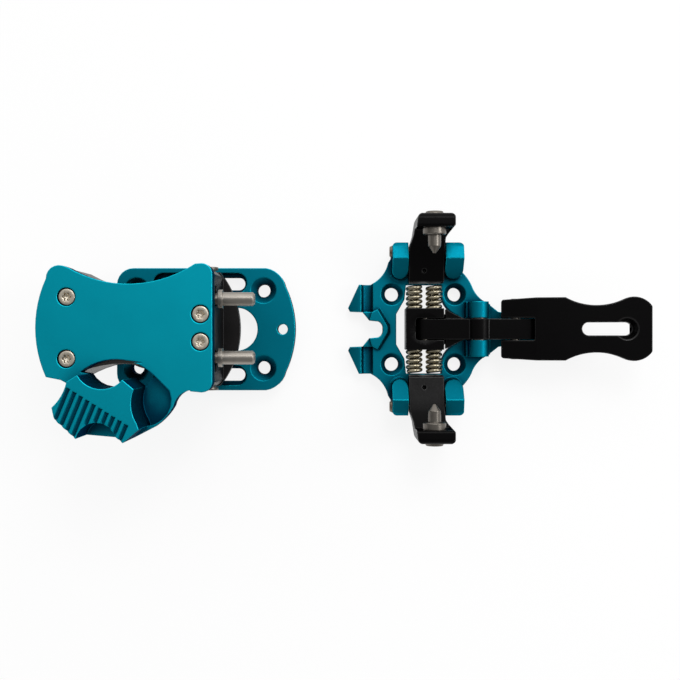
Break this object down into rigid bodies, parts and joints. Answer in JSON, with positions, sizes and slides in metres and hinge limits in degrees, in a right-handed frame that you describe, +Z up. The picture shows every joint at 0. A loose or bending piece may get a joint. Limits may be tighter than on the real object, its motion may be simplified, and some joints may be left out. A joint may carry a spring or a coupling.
{
  "type": "touring binding",
  "caption": "Pin touring binding for a ski: toe unit with sprung wings and a lever, heel unit with a turning tower, pins and a climbing step.",
  "frame": {"origin": "centre of the toe unit's four screws, on the ski's top surface", "axes": "+X along the ski towards its tip, +Y to the left, +Z up from the ski"},
  "size_m": [0.2435, 0.0948, 0.072],
  "materials": {
    "teal_aluminium": "teal anodised, machined",
    "black_aluminium": "black anodised, machined",
    "graphite_aluminium": "hard anodised, dark grey",
    "steel": "satin hardened steel",
    "spring_steel": "drawn spring wire"
  },
  "bodies": {
    "ski_plates": {"toe_base": "teal_aluminium", "left_wing_axle": "steel", "right_wing_axle": "steel", "rocker_pin": "steel", "heel_base": "teal_aluminium"},
    "left_wing_unit": {"left_wing": "black_aluminium", "left_toe_pin": "steel", "left_toe_pin_nut": "steel"},
    "right_wing_unit": {"right_wing": "black_aluminium", "right_toe_pin": "steel", "right_toe_pin_nut": "steel"},
    "block_unit": {"spring_block": "black_aluminium", "block_pin": "steel", "left_front_spring": "spring_steel", "left_rear_spring": "spring_steel", "right_front_spring": "spring_steel", "right_rear_spring": "spring_steel"},
    "rocker_unit": {"rocker_arm": "black_aluminium", "lever_pin": "steel"},
    "lever_unit": {"lever_handle": "black_aluminium"},
    "screw_unit": {"length_screw": "steel"},
    "slider_unit": {"heel_slider": "graphite_aluminium", "heel_post": "steel"},
    "tower_unit": {"foot_plate": "black_aluminium", "tower_housing": "graphite_aluminium", "top_cover": "teal_aluminium", "front_left_cover_screw": "steel", "front_right_cover_screw": "steel", "rear_left_cover_screw": "steel", "rear_right_cover_screw": "steel", "cross_bolt": "steel", "left_arm_pivot": "steel", "right_arm_pivot": "steel", "turn_plunger": "steel", "turn_spring": "spring_steel", "release_spring": "spring_steel"},
    "left_arm_unit": {"left_pin_arm": "graphite_aluminium", "left_heel_pin": "steel"},
    "right_arm_unit": {"right_pin_arm": "graphite_aluminium", "right_heel_pin": "steel"},
    "wedge_unit": {"release_wedge": "steel"},
    "release_adjuster_unit": {"release_adjuster": "graphite_aluminium"},
    "turn_adjuster_unit": {"turn_adjuster": "graphite_aluminium"}
  },
  "joints": [
    {"name": "rocker_pivot", "type": "hinge", "parent": "ski_plates", "child": "rocker_unit", "pos_m": [0.0226, 0, 0.014], "axis": [0, 1, 0], "range_deg": [0, 12]},
    {"name": "left_wing_hinge", "type": "hinge", "parent": "ski_plates", "child": "left_wing_unit", "pos_m": [0, 0.0326, 0.013], "axis": [1, 0, 0], "range_deg": [-22, 0]},
    {"name": "right_wing_hinge", "type": "hinge", "parent": "ski_plates", "child": "right_wing_unit", "pos_m": [0, -0.0326, 0.013], "axis": [1, 0, 0], "range_deg": [0, 22]},
    {"name": "block_lift", "type": "slide", "parent": "ski_plates", "child": "block_unit", "axis": [0, 0, 1], "range_m": [0, 0.00473]},
    {"name": "lever_hinge", "type": "hinge", "parent": "rocker_unit", "child": "lever_unit", "pos_m": [0.0379, 0, 0.014], "axis": [0, -1, 0], "range_deg": [0, 60]},
    {"name": "heel_slide", "type": "slide", "parent": "ski_plates", "child": "slider_unit", "axis": [1, 0, 0], "range_m": [0, 0.025]},
    {"name": "length_screw_turn", "type": "hinge", "parent": "ski_plates", "child": "screw_unit", "pos_m": [-0.12, 0, 0.0051], "axis": [1, 0, 0], "range_deg": [-11250, 0]},
    {"name": "tower_turn", "type": "hinge", "parent": "slider_unit", "child": "tower_unit", "pos_m": [-0.115, 0, 0.02], "axis": [0, 0, 1], "continuous": true},
    {"name": "left_arm_spread", "type": "hinge", "parent": "tower_unit", "child": "left_arm_unit", "pos_m": [-0.1, 0.0115, 0.0395], "axis": [0, 0, 1], "range_deg": [0, 8]},
    {"name": "right_arm_spread", "type": "hinge", "parent": "tower_unit", "child": "right_arm_unit", "pos_m": [-0.1, -0.0115, 0.0395], "axis": [0, 0, 1], "range_deg": [-8, 0]},
    {"name": "wedge_slide", "type": "slide", "parent": "tower_unit", "child": "wedge_unit", "axis": [-1, 0, 0], "range_m": [0, 0.0055], "stiffness_N_per_m": 320, "deforming": ["release_spring"]},
    {"name": "release_adjuster_turn", "type": "hinge", "parent": "tower_unit", "child": "release_adjuster_unit", "pos_m": [-0.147, 0, 0.0395], "axis": [1, 0, 0], "continuous": true},
    {"name": "turn_adjuster_turn", "type": "hinge", "parent": "tower_unit", "child": "turn_adjuster_unit", "pos_m": [-0.147, 0, 0.02385], "axis": [1, 0, 0], "continuous": true}
  ],
  "couplings": [
    {"joint": "rocker_pivot", "follows": "block_lift", "rad_per_m": 44.248},
    {"joint": "left_wing_hinge", "follows": "block_lift", "rad_per_m": -81.121},
    {"joint": "right_wing_hinge", "follows": "block_lift", "rad_per_m": 81.121},
    {"joint": "length_screw_turn", "follows": "heel_slide", "rad_per_m": -7854},
    {"joint": "left_arm_spread", "follows": "wedge_slide", "rad_per_m": 25.394},
    {"joint": "right_arm_spread", "follows": "wedge_slide", "rad_per_m": -25.394}
  ]
}
